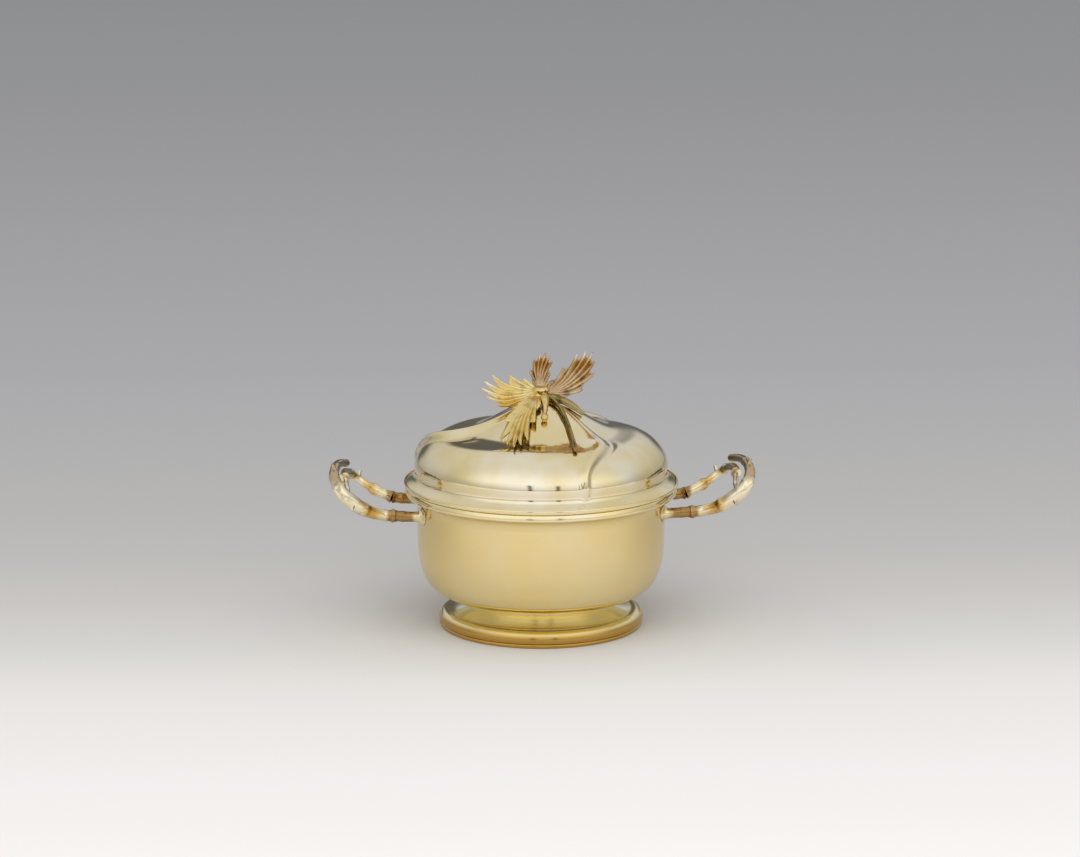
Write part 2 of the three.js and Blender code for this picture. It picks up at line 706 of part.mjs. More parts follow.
function addSprig() {
  const knopFoot = [at(0, LID_TOP), at(KNOP_RADIUS + CAST_GAP, LID_TOP)];
  const knopRoom = revolve([...knopFoot, ...knopOutline(CAST_GAP)], SMALL_SIDES);
  const { drooping_leaf, ...standing } = LEAVES;
  for (const [name, shape] of Object.entries(standing)) {
    addMesh("finial_" + name, cut(leaf(shape), knopRoom), FINISH.cast);
  }
  const leftRoom = leaf(LEAVES.left_leaf, CAST_GAP);
  addMesh("finial_drooping_leaf", cut(leaf(drooping_leaf), knopRoom, leftRoom), FINISH.cast);
  const bud = shoot(BUD_PATH, BUD_RADIUS, (share) =>
    BUD_RADIUS * (0.72 + 0.3 * bump(share, 0.28, 0.18) + 0.22 * bump(share, 0.82, 0.14)));
  addMesh("finial_bud", cut(bud, knopRoom), FINISH.cast);
  const taper = (share) => SHOOT_RADIUS * (1 - 0.45 * share ** 3);
  addMesh("finial_shoot", cut(shoot(SHOOT_PATH, SHOOT_RADIUS, taper), knopRoom), FINISH.cast);
}

addFoot();
addBowl();
addHandles();
addLid();
addFixing();
addSprig();

export default part;
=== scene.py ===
"""A small covered box of silver-gilt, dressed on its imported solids, with a pale studio sweep."""

import math

import bmesh
import bpy
from mathutils import Matrix, Vector, noise


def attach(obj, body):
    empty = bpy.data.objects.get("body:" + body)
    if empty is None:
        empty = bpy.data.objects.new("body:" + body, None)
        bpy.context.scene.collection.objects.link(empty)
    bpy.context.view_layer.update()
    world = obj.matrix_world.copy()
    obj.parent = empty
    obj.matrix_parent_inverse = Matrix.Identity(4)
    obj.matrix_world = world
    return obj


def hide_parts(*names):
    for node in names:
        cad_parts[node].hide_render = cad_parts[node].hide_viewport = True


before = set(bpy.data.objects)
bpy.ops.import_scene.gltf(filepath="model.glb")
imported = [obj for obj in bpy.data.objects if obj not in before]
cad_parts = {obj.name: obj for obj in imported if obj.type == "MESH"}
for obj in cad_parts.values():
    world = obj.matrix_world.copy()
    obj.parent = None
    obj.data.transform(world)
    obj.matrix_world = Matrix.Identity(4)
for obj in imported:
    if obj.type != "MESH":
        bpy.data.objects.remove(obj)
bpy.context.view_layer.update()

# Lengths are written in millimetres, and every mesh is scaled to metres when it is finished.
MM = 0.001

# Heights and radii that the dressed pieces share with the solids
BASE_WIRE_TOP = 1.5
FOOT_TOP = 11.2
BOWL_BASE = 11.3
WALL_RADIUS = 47.0
LIP_TOP = 54.2
FLANGE_TOP = 55.3
CREASE_HEIGHT = 58.4
DOME_RADIUS = 47.8
SHOULDER_RADIUS = 37.5
SHOULDER_HEIGHT = 73.3
CROWN_RADIUS = 4.8
LID_TOP = 86.7
SHEET = 1.0
LEAF_SHEET = 0.85


# --- Shaping ---------------------------------------------------------------------------------------

# Edges that turn by more than this stay sharp
CREASE_ANGLE = math.radians(50)
# Points of a spun profile that are nearer than this are one, and shorter edges are dissolved
SEAM_GAP = 0.002
SLIVER = 0.001


def smoothstep(value, low, high):
    share = min(max((value - low) / (high - low), 0.0), 1.0)
    return share * share * (3 - 2 * share)


def mix(a, b, share):
    return a + (b - a) * share


def bump(value, place, width):
    return math.exp(-(((value - place) / width) ** 2))


def through(points, steps):
    """A smooth line through the points, with `steps` stretches between each two."""
    points = [Vector(point) for point in points]
    ends = [points[0] * 2 - points[1], *points, points[-1] * 2 - points[-2]]
    line = []
    for before, start, end, after in zip(ends, ends[1:], ends[2:], ends[3:]):
        for step in range(steps):
            t = step / steps
            line.append(
                0.5
                * (
                    2 * start
                    + (end - before) * t
                    + (2 * before - 5 * start + 4 * end - after) * t**2
                    + (3 * start - before - 3 * end + after) * t**3
                )
            )
    return [*line, points[-1]]


def polar(radius, bearing, height):
    """A point by its bearing in degrees from the front, -Y, towards the right, +X."""
    turn = math.radians(bearing)
    return Vector((radius * math.sin(turn), -radius * math.cos(turn), height))


def along(line, i):
    """From the point before a line's point i to the one after it."""
    return line[min(i + 1, len(line) - 1)] - line[max(i - 1, 0)]


def outward(profile, i):
    """The direction out of a profile's right-hand side at its point i."""
    way = along(profile, i)
    return Vector((way.y, -way.x)).normalized()


def inner_face(profile, sheet):
    return [point - outward(profile, i) * sheet for i, point in enumerate(profile)]


def turned(profile, steps=192):
    """A closed profile of (radius, height) points, spun round the axis."""
    shape = bmesh.new()
    rim = [shape.verts.new((radius, 0, height)) for radius, height in profile]
    edges = [shape.edges.new(pair) for pair in zip(rim, [*rim[1:], rim[0]])]
    bmesh.ops.spin(
        shape,
        geom=rim + edges,
        cent=(0, 0, 0),
        axis=(0, 0, 1),
        angle=math.tau,
        steps=steps,
        use_merge=True,
    )
    bmesh.ops.remove_doubles(shape, verts=shape.verts, dist=SEAM_GAP)
    bmesh.ops.dissolve_degenerate(shape, dist=SLIVER, edges=shape.edges)
    bmesh.ops.recalc_face_normals(shape, faces=shape.faces)
    return shape


def finished(name, shape, finish, body, *nodes, slot, sheet=0.0, subdivide=0):
    """Turns a shape into a piece that rides on its body and stands for its CAD nodes."""
    bmesh.ops.scale(shape, vec=(MM, MM, MM), verts=shape.verts)
    for face in shape.faces:
        face.smooth = True
    for edge in shape.edges:
        edge.smooth = not edge.is_manifold or edge.calc_face_angle(0) < CREASE_ANGLE
    mesh = bpy.data.meshes.new(name)
    shape.to_mesh(mesh)
    shape.free()
    piece = bpy.data.objects.new(name, mesh)
    bpy.context.scene.collection.objects.link(piece)
    mesh.materials.append(finish)
    if sheet:
        thickness = piece.modifiers.new("sheet", "SOLIDIFY")
        thickness.thickness, thickness.offset = sheet * MM, 0
        thickness.use_even_offset = False
    if subdivide:
        surface = piece.modifiers.new("smooth", "SUBSURF")
        surface.levels = surface.render_levels = subdivide
    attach(piece, body)
    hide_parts(*nodes)
    return piece


# --- Finishes --------------------------------------------------------------------------------------

# The brown painted as shade on the side of a handle that faces the box
INNER_SIDE_SHADE = "#4E3A1C"


def linear(hex_colour):
    """An sRGB hex colour as the linear values that the shaders take."""
    channels = [int(hex_colour[i : i + 2], 16) / 255 for i in (1, 3, 5)]
    return [c / 12.92 if c <= 0.04045 else ((c + 0.055) / 1.055) ** 2.4 for c in channels] + [1.0]


def add(tree, kind, settings=None, **inputs):
    """Adds a node with its settings. An input is a value, or a (node, output) pair to link."""
    node = tree.nodes.new("ShaderNode" + kind)
    for name, value in (settings or {}).items():
        setattr(node, name, value)
    for name, value in inputs.items():
        key = int(name[1:]) if name[0] == "_" else name.replace("_", " ")
        if isinstance(value, tuple) and isinstance(value[0], bpy.types.Node):
            tree.links.new(value[0].outputs[value[1]], node.inputs[key])
        else:
            node.inputs[key].default_value = value
    return node


def span(tree, source, start, end, low=0.0, high=1.0, soft=True):
    """Goes from `low` to `high` while the source goes from `start` to `end`."""
    kind = {"interpolation_type": "SMOOTHSTEP" if soft else "LINEAR"}
    ends = {"From_Min": start, "From_Max": end, "To_Min": low, "To_Max": high}
    return add(tree, "MapRange", kind, Value=source, **ends), "Result"


def blend(tree, share, below, above):
    """The colour `below`, with a share of the colour `above` over it."""
    # A colour mix has its two colours at inputs 6 and 7, and its result at output 2
    return add(tree, "Mix", {"data_type": "RGBA"}, Factor=share, _6=below, _7=above), 2


def sums(tree, operation, *values):
    """A sum's result, on numbers or (node, output) pairs."""
    inputs = {f"_{i}": value for i, value in enumerate(values)}
    return add(tree, "Math", {"operation": operation}, **inputs), 0


def product(tree, first, *others):
    """Shares multiplied together."""
    for other in others:
        first = sums(tree, "MULTIPLY", first, other)
    return first


def ramp(tree, source, *stops):
    """A colour ramp from a (node, output) pair, with stops of (place, hex colour). The first two
    stops are its ends."""
    node = add(tree, "ValToRGB", Fac=source)
    elements = node.color_ramp.elements
    for element, (place, colour) in zip(elements, stops):
        element.position, element.color = place, linear(colour)
    for place, colour in stops[2:]:
        elements.new(place).color = linear(colour)
    return node, "Color"


def new_material(name):
    material = bpy.data.materials.new(name)
    material.use_nodes = True
    tree = material.node_tree
    tree.nodes.clear()
    return material, tree


def silver_gilt(
    name, gold, pale, roughness, wear, planish, tones=(), deep=None, hollow_shade=0.0, grime=0.0, inner_side_shade=0.0
):
    """Silver with a thin fire-gilt skin: yellow where the gold is whole, paler where polishing has
    worn it towards the silver, deeper and duller in spots of tarnish, and with painted shade in
    its hollows.

    Each of the tones, some painted highlights and some painted shade, is (axis, start, end,
    colour), with both distances in mm from the middle of the axis, and `planish` is the depth of
    the hammer facets in mm. `wear` and `grime` say how much there is of the pale gold and of the
    deep tone in spots of tarnish, and the arguments for shade how much of the deep tone is painted
    as shade in the hollows and how much painted brown shade lies on the side that faces the box."""
    material, tree = new_material(name)
    place = add(tree, "TexCoord")
    spot = (place, "Object")
    parts = add(tree, "SeparateXYZ", Vector=spot)
    # Worn patches of 20 to 40 mm, with streaks of a few millimetres inside them
    patches = add(tree, "TexNoise", Vector=spot, Scale=32.0, Detail=3.0, Roughness=0.55)
    worn = span(tree, (patches, "Fac"), start=0.38, end=0.72, high=wear)
    surface = blend(tree, worn, linear(gold), linear(pale))
    for axis, start, end, tone in tones:
        distance = sums(tree, "ABSOLUTE", (parts, axis))
        reached = span(tree, distance, start=start * MM, end=end * MM)
        surface = blend(tree, reached, surface, linear(tone))
    if hollow_shade:
        # Painted shade: the chased hollows, found by their pointiness, are darkened towards the deep
        # colour
        form = add(tree, "NewGeometry")
        depth = span(tree, (form, "Pointiness"), start=0.40, end=0.50, low=hollow_shade, high=0.0)
        surface = blend(tree, depth, surface, linear(deep))
    if grime:
        # Tarnish left in the chasing, in spots of 2 to 4 mm
        spots = add(tree, "TexNoise", Vector=spot, Scale=240.0, Detail=3.0, Roughness=0.6)
        left = span(tree, (spots, "Fac"), start=0.5, end=0.7, high=grime)
        surface = blend(tree, left, surface, linear(deep))
    if inner_side_shade:
        # Painted shade: the side of a piece whose normal faces the box is darkened towards that brown
        facing = add(tree, "SeparateXYZ", Vector=(place, "Normal"))
        side = sums(tree, "SIGN", (parts, "X"))
        outwards = product(tree, (facing, "X"), side)
        shaded_side = span(tree, outwards, start=-0.95, end=-0.45, low=inner_side_shade, high=0.0)
        surface = blend(tree, shaded_side, surface, linear(INNER_SIDE_SHADE))
    # Polishing marks: faint, a few millimetres long
    rub = add(tree, "TexNoise", Vector=spot, Scale=420.0, Detail=4.0)
    least, most = roughness * 0.85, roughness * 1.2
    gloss = span(tree, (rub, "Fac"), start=0.3, end=0.7, low=least, high=most, soft=False)
    # Planishing: shallow hammer facets about 9 mm across
    facets = add(tree, "TexNoise", Vector=spot, Scale=85.0, Detail=1.0)
    relief = add(tree, "Bump", Height=(facets, "Fac"), Strength=1.0, Distance=planish * MM)
    shader = add(
        tree, "BsdfPrincipled", Base_Color=surface, Metallic=1.0, Roughness=gloss,
        Normal=(relief, "Normal"),
    )
    add(tree, "OutputMaterial", Surface=(shader, "BSDF"))
    return material


# Raised sheet of the bowl: softly polished, with a broad even sheen, and a brighter painted highlight
# in the curve below
BOWL_GILT = silver_gilt(
    "raised silver-gilt", "#ECD597", "#EBDCB0", 0.17, wear=0.6, planish=0.05,
    tones=[("Z", 19.0, 13.5, "#FFF0AC")],
)
# The foot is painted a deep amber low on its roll, as a reflection of the shaded floor, with a paler
# painted highlight from the roll's top up, and the collar above it is palest.
FOOT_GILT = silver_gilt(
    "foot silver-gilt", "#C8A052", "#CDA65C", 0.15, wear=0.6, planish=0.03,
    tones=[("Z", 4.2, 5.4, "#F1DFAC"), ("Z", 6.1, 6.6, "#EDE5D2")],
)
# The lid has been handled and rubbed most: a near mirror, the gold worn pale.
LID_GILT = silver_gilt(
    "polished lid silver-gilt", "#EAD8A4", "#F5EEDC", 0.1, wear=1.0, planish=0.04
)
# Cast and chased work is painted dark as shade in its hollows, between pale edges. Along the handles
# the colour is darker by the roots, then paler, more golden, and palest out to the bends, duller at
# the top, and painted dark as shade on the side towards the box.
CAST_GILT = silver_gilt(
    "cast silver-gilt", "#A98450", "#C9AC78", 0.19, wear=0.9, planish=0.12,
    tones=[
        ("X", 57.6, 59.2, "#F2E3BA"),
        ("X", 61.5, 63.5, "#E6C07A"),
        ("X", 66.0, 68.5, "#F6EBCC"),
        ("Z", 58.5, 61.0, "#C9B28C"),
    ],
    deep="#77552A", hollow_shade=0.85, grime=0.55, inner_side_shade=0.9,
)
# Painted highlights: the bright leaves turn paler towards their tips, from 16 to 21 mm out to either
# side.
SPRIG_GILT = silver_gilt(
    "chased sprig silver-gilt", "#E8CE84", "#F4E8C4", 0.22, wear=0.8, planish=0.1,
    tones=[("X", 16.0, 21.0, "#F7E9C4")], deep="#755A24", hollow_shade=0.9, grime=0.35,
)
# Two leaves that face away from the light are painted reddish brown as shade, more golden higher up,
# and with painted highlights on their pale tips.
SHADED_LEAF_GILT = silver_gilt(
    "shaded leaf silver-gilt", "#C0A077", "#E4D3B0", 0.24, wear=0.8, planish=0.1,
    tones=[("Z", 96.0, 100.0, "#BE9A62"), ("Z", 100.5, 104.5, "#F3E6CC")],
    deep="#523C20", hollow_shade=0.9, grime=0.6,
)
# The shoot and its stalk lie close over the lid: dull and olive.
SHOOT_GILT = silver_gilt(
    "dull olive shoot silver-gilt", "#96814F", "#C4B483", 0.24, wear=0.8, planish=0.1,
    deep="#463A20", hollow_shade=0.9, grime=0.6,
)
# The roots stand in the flange's shade, which is painted brown on them away from the wall and
# darker near the boughs, while their pads on the wall stay pale.
ROOT_GILT = silver_gilt(
    "handle root silver-gilt", "#F1DFAE", "#F6EBD0", 0.2, wear=0.7, planish=0.1,
    tones=[("X", 47.6, 50.0, "#A98450"), ("X", 54.6, 56.0, "#7A5A30")],
    deep="#6B4A20", hollow_shade=0.8, grime=0.4,
)
# Drawn wire round the edges, worn smooth.
WIRE_GILT = silver_gilt(
    "drawn wire silver-gilt", "#F3E0A8", "#F4ECD2", 0.14, wear=0.6, planish=0.01
)
# Inside the lid the gilding is whole but was never polished.
INNER_GILT = silver_gilt(
    "unpolished inner silver-gilt", "#E6CC88", "#DCCDA0", 0.33, wear=0.4, planish=0.05
)

RAISED = {"slot": "raised_silver_gilt"}
WIRE = {"slot": "wire_silver_gilt"}
CAST = {"slot": "cast_silver_gilt", "subdivide": 1}


# --- Foot ------------------------------------------------------------------------------------------

# A collar flares from the neck and runs out into the roll that stands round the edge.
foot_face = [
    *through([(38.4, 1.55), (38.75, 2.2), (38.85, 3.2), (38.55, 4.4), (37.8, 5.4), (36.8, 5.95)], 6),
    *through([(35.7, 6.0), (34.6, 5.95), (33.2, 6.2), (31.4, 6.8), (29.8, 7.6), (28.6, 8.5)], 6),
    *through([(27.9, 9.4), (27.4, 10.3)], 3),
    Vector((27.05, FOOT_TOP)),
]
foot_inside = [
    *through([(26.15, FOOT_TOP), (26.6, 10.1), (27.1, 9.1), (28.1, 7.9), (29.4, 6.8), (31.3, 5.8)], 5),
    *through([(33.3, 5.2), (34.8, 4.9), (35.9, 4.9), (36.8, 4.7), (37.5, 4.0), (37.8, 3.0)], 5),
    Vector((37.5, 1.55)),
]
finished("turned_foot", turned([*foot_face, *foot_inside]), FOOT_GILT, "box_body", "foot", **RAISED)

base_wire = [
    Vector((36.7, 0)),
    *through([(38.1, 0.0), (38.5, 0.2), (38.65, 0.7), (38.6, 1.2), (38.3, BASE_WIRE_TOP)], 4),
    Vector((36.7, BASE_WIRE_TOP)),
]
finished("foot_base_wire", turned(base_wire), FOOT_GILT, "box_body", "base_wire", **WIRE)

neck_wire = through([(27.25, 10.0), (28.1, 10.15), (28.5, 10.6), (28.2, 11.05), (27.25, FOOT_TOP)], 4)
finished("neck_joint_wire", turned(neck_wire), WIRE_GILT, "box_body", "neck_wire", **WIRE)


# --- Bowl ------------------------------------------------------------------------------------------

# The inner face stops here, where the lip has turned out
LIP_INSIDE = 49.6

bowl_face = through(
    [
        (0, BOWL_BASE), (14, BOWL_BASE), (27, BOWL_BASE), (32, 11.7), (37, 12.9), (40.3, 14.6),
        (42.9, 17.0), (44.7, 20.0), (45.8, 23.5), (46.5, 27.0), (46.9, 32.0), (WALL_RADIUS, 38.0),
        (WALL_RADIUS, 45.0), (47.05, 47.2), (47.4, 48.9), (48.2, 50.1), (49.2, 50.9), (50.2, 51.4),
    ],
    5,
)
bowl_lip = through([(50.55, 51.9), (50.75, 52.9), (50.6, LIP_TOP)], 3)
bowl_inside = [
    Vector((max(point.x, 0), min(point.y, LIP_TOP)))
    for point in reversed(inner_face(bowl_face, SHEET))
    if point.x < LIP_INSIDE
]
bowl = turned([*bowl_face, *bowl_lip, *bowl_inside])
finished("raised_bowl", bowl, BOWL_GILT, "box_body", "bowl", **RAISED)

mouth_wire = through(
    [(50.4, 51.35), (51.1, 51.3), (51.6, 51.7), (51.65, 52.4), (51.35, 53.3), (50.85, LIP_TOP)], 4
)
finished("lip_edge_wire", turned(mouth_wire), WIRE_GILT, "box_body", "mouth_wire", **WIRE)


# --- Lid -------------------------------------------------------------------------------------------

RIBS = 3
PITCH = 360 / RIBS
# Where the first rib leaves the crease, and how far it swirls on the dome's slope and to the crown
RIB_BEARING = 17
SLOPE_SWIRL = 18
CROWN_SWIRL = 30
# The slope's swirl is complete at this share of the way from the crease to the axis
SLOPE_SHARE = 0.32
# Half of a rib's width at the crease and on the dome, how far in from the crease it is reached,
# the radius inside which the rib narrows again, and how much slower its left side falls
CREASE_HALF = 1.9
DOME_HALF = 5.2
WIDENING = 12
NARROWING = 30
LEFT_SPREAD = 1.6
# How far a rib stands out, and the shares of it that are left at the crease and at the crown
RIB_RISE = 2.1
CREASE_SHARE = 0.3
CROWN_SHARE = 0.15
# The groove beside a rib, its place and width in half widths of the rib
GROOVE_DEPTH = 0.55
GROOVE_PLACE = 1.15
GROOVE_WIDTH = 0.42
# How far a panel stands out at the shoulder, and lies back in a ring above it. The hollow deepens
# between two shares of the way from the rib to the panel's middle.
PANEL_SWELL = 0.9
PANEL_HOLLOW = 1.2
HOLLOW_RADIUS = 28.0
HOLLOW_WIDTH = 7.5
HOLLOW_STARTS, HOLLOW_FULL = 0.1, 0.36
# Below this the lid is plain turned work
PLAIN_HEIGHT = FLANGE_TOP + 0.5


def rib_bearing(radius):
    inward = 1 - radius / DOME_RADIUS
    slope = SLOPE_SWIRL * smoothstep(inward, 0, SLOPE_SHARE)
    return RIB_BEARING + slope + CROWN_SWIRL * inward**2


def rib_half_width(radius):
    spread = smoothstep(DOME_RADIUS - radius, 0, WIDENING)
    return mix(CREASE_HALF, DOME_HALF, spread) * min(1, radius / NARROWING)


def lid_relief(radius, bearing, height):
    """How far the ribs and the panels between them stand out of the turned dome."""
    if height < PLAIN_HEIGHT or radius < CROWN_RADIUS:
        return 0.0
    turned_by = (bearing - rib_bearing(radius)) % PITCH
    signed = turned_by if turned_by < PITCH / 2 else turned_by - PITCH
    width = math.degrees(rib_half_width(radius) / radius)
    off_crease = smoothstep(height, CREASE_HEIGHT, SHOULDER_HEIGHT - 1)
    off_crown = smoothstep(radius, CROWN_RADIUS, SHOULDER_RADIUS)
    fade = min(mix(CREASE_SHARE, 1, off_crease), mix(CROWN_SHARE, 1, off_crown))
    start = smoothstep(height, CREASE_HEIGHT - 1, CREASE_HEIGHT + 1)
    end = smoothstep(radius, CROWN_RADIUS, CROWN_RADIUS * 2)
    # The rib turns over sharply on its right side and fades softly into the panel on its left
    reach = signed / width if signed > 0 else -signed / (width * LEFT_SPREAD)
    rib = RIB_RISE * fade * start * end * (1 - smoothstep(reach, 0, 1))
    groove = GROOVE_DEPTH * bump(signed / width, GROOVE_PLACE, GROOVE_WIDTH)
    groove *= min(off_crease, off_crown) * start
    across = abs(signed) / (PITCH / 2)
    foot = smoothstep(height, CREASE_HEIGHT, SHOULDER_HEIGHT)
    crown = smoothstep(radius, CROWN_RADIUS * 2, SHOULDER_RADIUS)
    swell = PANEL_SWELL * min(foot, crown) * smoothstep(across, 0, 1)
    # Above the shoulder the panels are beaten a little hollow, which leaves a flat shelf below
    hollow = PANEL_HOLLOW * bump(radius, HOLLOW_RADIUS, HOLLOW_WIDTH)
    hollow *= smoothstep(across, HOLLOW_STARTS, HOLLOW_FULL)
    return rib + swell - groove - hollow


lid_face = [
    Vector((51.35, 54.4)),
    Vector((51.4, FLANGE_TOP - 0.1)),
    *through(
        [
            (51.15, FLANGE_TOP + 0.25), (50.4, 56.0), (49.4, 56.6), (48.4, 57.4),
            (DOME_RADIUS, CREASE_HEIGHT),
        ],
        5,
    ),
    *through(
        [
            (DOME_RADIUS - 0.02, 59.6), (48.0, 61.2), (47.95, 62.8), (47.0, 65.4), (45.0, 68.2),
            (41.8, 71.1), (SHOULDER_RADIUS, SHOULDER_HEIGHT), (32.0, 74.95), (26.4, 76.5),
            (20.9, 78.7), (15.2, 81.6), (9.6, 84.6), (CROWN_RADIUS, 86.3), (1.6, LID_TOP),
        ],
        6,
    ),
]


def lid_shape():
    """The turned lid with its ribs and panels pushed out, both faces alike."""
    inside = inner_face(lid_face, SHEET)
    shape = turned([*lid_face, *reversed(inside)], steps=360)
    nearest = {}
    for vert in shape.verts:
        here = Vector((vert.co.to_2d().length, vert.co.z))
        key = round(here.x, 2), round(here.y, 2)
        if key not in nearest:
            gaps = [min((a - here).length, (b - here).length) for a, b in zip(lid_face, inside)]
            nearest[key] = gaps.index(min(gaps))
        i = nearest[key]
        face = lid_face[i]
        bearing = math.degrees(math.atan2(vert.co.x, -vert.co.y))
        lean = outward(lid_face, i) * lid_relief(face.x, bearing, face.y)
        vert.co += polar(lean.x, bearing, lean.y)
    return shape


finished("ribbed_lid", lid_shape(), LID_GILT, "lid", "lid_shell", slot="lid_silver_gilt")

edge_wire = through([(51.5, 54.35), (51.95, 54.5), (52.1, 55.1), (51.95, 55.7), (51.5, 55.85)], 4)
finished("lid_rim_wire", turned(edge_wire), WIRE_GILT, "lid", "lid_edge_wire", **WIRE)

# The ring that drops into the mouth, its lower edge rounded and its step soldered inside the dome
bezel = [
    Vector((46.5, 60.0)),
    Vector((46.5, 56.2)),
    Vector((45.6, 55.3)),
    *through([(45.6, 49.4), (45.5, 48.85), (45.2, 48.62), (44.9, 48.85), (44.8, 49.4)], 4),
    Vector((44.8, 55.4)),
    Vector((45.7, 56.35)),
    Vector((45.7, 60.0)),
]
finished("lid_seating_ring", turned(bezel), INNER_GILT, "lid", "lid_bezel", slot="inside_silver_gilt")

for node in ("finial_washer", "finial_nut", "finial_stud"):
    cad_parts[node].data.materials.clear()
    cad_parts[node].data.materials.append(INNER_GILT)


# --- Stems: branches, roots, twigs and shoots ------------------------------------------------------

# A stem's cut end has a ring this wide, which the middle stands above by this much
CUT_RING = 0.35
CUT_RISE = 0.12
# Bark has this many ridges, which wind by so many radians, and a roughness with this fineness
# round the stem and along it. Each counts for the same share of the bark's depth.
RIDGES = 5
RIDGE_WIND = 7
ROUGH_ROUND = 1.5
ROUGH_ALONG = 14
BARK_SHARE = 0.6


def frames_along(path):
    """A turning frame at each point of a path, without twist."""
    ways = [along(path, i).normalized() for i in range(len(path))]
    across = ways[0].orthogonal().normalized()
    frames = []
    for i, (point, way) in enumerate(zip(path, ways)):
        if i:
            across.rotate(ways[i - 1].rotation_difference(way))
        up = way.cross(across)
        frames.append(Matrix((across, up, way)).transposed().to_4x4())
        frames[-1].translation = point
    return frames


def ring_edges(ring):
    return list({edge for vert in ring for edge in vert.link_edges if edge.other_vert(vert) in ring})


def add_stem(shape, points, radius, steps=8, sides=18, bark=0.0, seed=0.0):
    """Draws a round stem along a smooth path. `radius` gives its thickness by share of the length,
    and `bark` the depth of the ridges that run along it."""
    frames = frames_along(through(points, steps))
    ring = bmesh.ops.create_circle(shape, segments=sides, radius=1.0, cap_ends=False)["verts"]
    bmesh.ops.transform(shape, matrix=frames[0], verts=ring)
    ends = [ring]
    for i, frame_here in enumerate(frames):
        if i:
            grown = bmesh.ops.extrude_edge_only(shape, edges=ring_edges(ring))["geom"]
            ring = [item for item in grown if isinstance(item, bmesh.types.BMVert)]
            bmesh.ops.transform(shape, matrix=frame_here @ frames[i - 1].inverted(), verts=ring)
        share = i / (len(frames) - 1)
        back = frame_here.inverted()
        for vert in ring:
            spoke = (back @ vert.co).to_2d().normalized()
            angle = math.atan2(spoke.y, spoke.x)
            place = (spoke.x * ROUGH_ROUND, spoke.y * ROUGH_ROUND + seed, share * ROUGH_ALONG)
            relief = bark * (
                BARK_SHARE * math.sin(RIDGES * angle + RIDGE_WIND * share + seed)
                + BARK_SHARE * noise.noise(Vector(place))
            )
            vert.co = frame_here @ (spoke * radius(share) * (1 + relief)).to_3d()
    ends.append(ring)
    for end in ends:
        cap = bmesh.ops.holes_fill(shape, edges=ring_edges(end))["faces"]
        bmesh.ops.inset_region(shape, faces=cap, thickness=CUT_RING, depth=CUT_RISE)


def stems(*specs):
    shape = bmesh.new()
    for spec in specs:
        add_stem(shape, **spec)
    bmesh.ops.recalc_face_normals(shape, faces=shape.faces)
    return shape


def mirrored(points, side):
    return [(x * side, y, z) for x, y, z in points]


# --- Handles ---------------------------------------------------------------------------------------

# The right handle's paths. The left one is its mirror image.
FRONT_PATH = [
    (56.3, -12.4, 45.5), (60.1, -13.4, 46.0), (64.5, -15.5, 47.6), (68.3, -17.6, 49.8),
    (71.9, -19.0, 52.6), (74.9, -19.5, 55.3), (76.9, -18.0, 58.1), (78.2, -13.0, 60.4),
    (78.3, -7.0, 61.6), (77.6, -0.5, 62.2), (75.9, 5.6, 62.0), (73.6, 10.8, 60.9),
]
BACK_PATH = [
    (56.3, 12.4, 46.9), (61.4, 13.8, 48.8), (65.9, 15.6, 51.1), (69.3, 16.1, 53.4),
    (72.0, 14.2, 55.8), (73.9, 9.0, 57.8), (74.6, 3.4, 58.2), (74.3, -1.2, 57.7),
]
TWIG_PATH = [(74.2, -1.0, 57.0), (73.9, -4.6, 55.2), (73.4, -9.4, 54.2), (72.7, -17.2, 53.8)]
# A root starts inside the bowl's wall, and its pad follows the wall's curve up to the second value
ROOT_START = 45.4
PAD_END = 51
# The pad stands this far off the wall, which leans out into the lip above a height
PAD_GAP = 0.06
LIP_CURVE = 47.3
LIP_LEAN = 0.3


def front_radius(share):
    knuckle = 0.75 * bump(share, 0.0, 0.022) + 0.2 * bump(share, 0.07, 0.03)
    knots = 0.32 * bump(share, 0.245, 0.018) + 0.3 * bump(share, 0.53, 0.02)
    knots += 0.25 * bump(share, 0.8, 0.02)
    belly = 0.85 * bump(share, 0.38, 0.2)
    return 1.95 + belly + knuckle + knots - 0.45 * smoothstep(share, 0.6, 1.0)


def back_radius(share):
    knuckle = 0.8 * bump(share, 0.0, 0.03)
    knots = 0.55 * bump(share, 0.2, 0.03) - 0.2 * bump(share, 0.27, 0.03)
    knots += 0.45 * bump(share, 0.58, 0.035)
    return 1.62 + 0.35 * bump(share, 0.12, 0.12) + knuckle + knots + 0.55 * bump(share, 1.0, 0.07)


def root_radius(share):
    pad = 1.5 * bump(share, 0, 0.24)
    return 1.95 + pad + 0.25 * bump(share, 0.78, 0.05) + 0.5 * bump(share, 1, 0.07)


def snag(side, start, way, length, thickness):
    """A short stub where a side shoot was cut off."""
    start, way = Vector(start), Vector(way).normalized()
    points = [tuple(start + way * length * share) for share in (-0.3, 0.3, 1.0)]
    return {
        "points": mirrored(points, side),
        "radius": lambda share: thickness * (1.25 - 0.45 * share + 0.12 * bump(share, 1, 0.15)),
        "steps": 3,
        "sides": 10,
    }


def root(side, across, height, rise):
    """A stub from the bowl's wall to the branch, spread at the wall into a soldered pad."""
    shape = bmesh.new()
    levels = [(ROOT_START, 0), (46.2, 0), (47.5, 0), (50.0, 0.15), (53.0, 0.5), (56.25, 1)]
    points = [(out, across, height + rise * share) for out, share in levels]
    add_stem(shape, mirrored(points, side), root_radius, steps=5, sides=20, bark=0.05, seed=across)
    for vert in shape.verts:
        wall = WALL_RADIUS + PAD_GAP + LIP_LEAN * max(vert.co.z - LIP_CURVE, 0)
        curve = math.sqrt(wall**2 - vert.co.y**2) - ROOT_START
        vert.co.x += side * curve * (1 - smoothstep(abs(vert.co.x), ROOT_START, PAD_END))
    bmesh.ops.recalc_face_normals(shape, faces=shape.faces)
    return shape


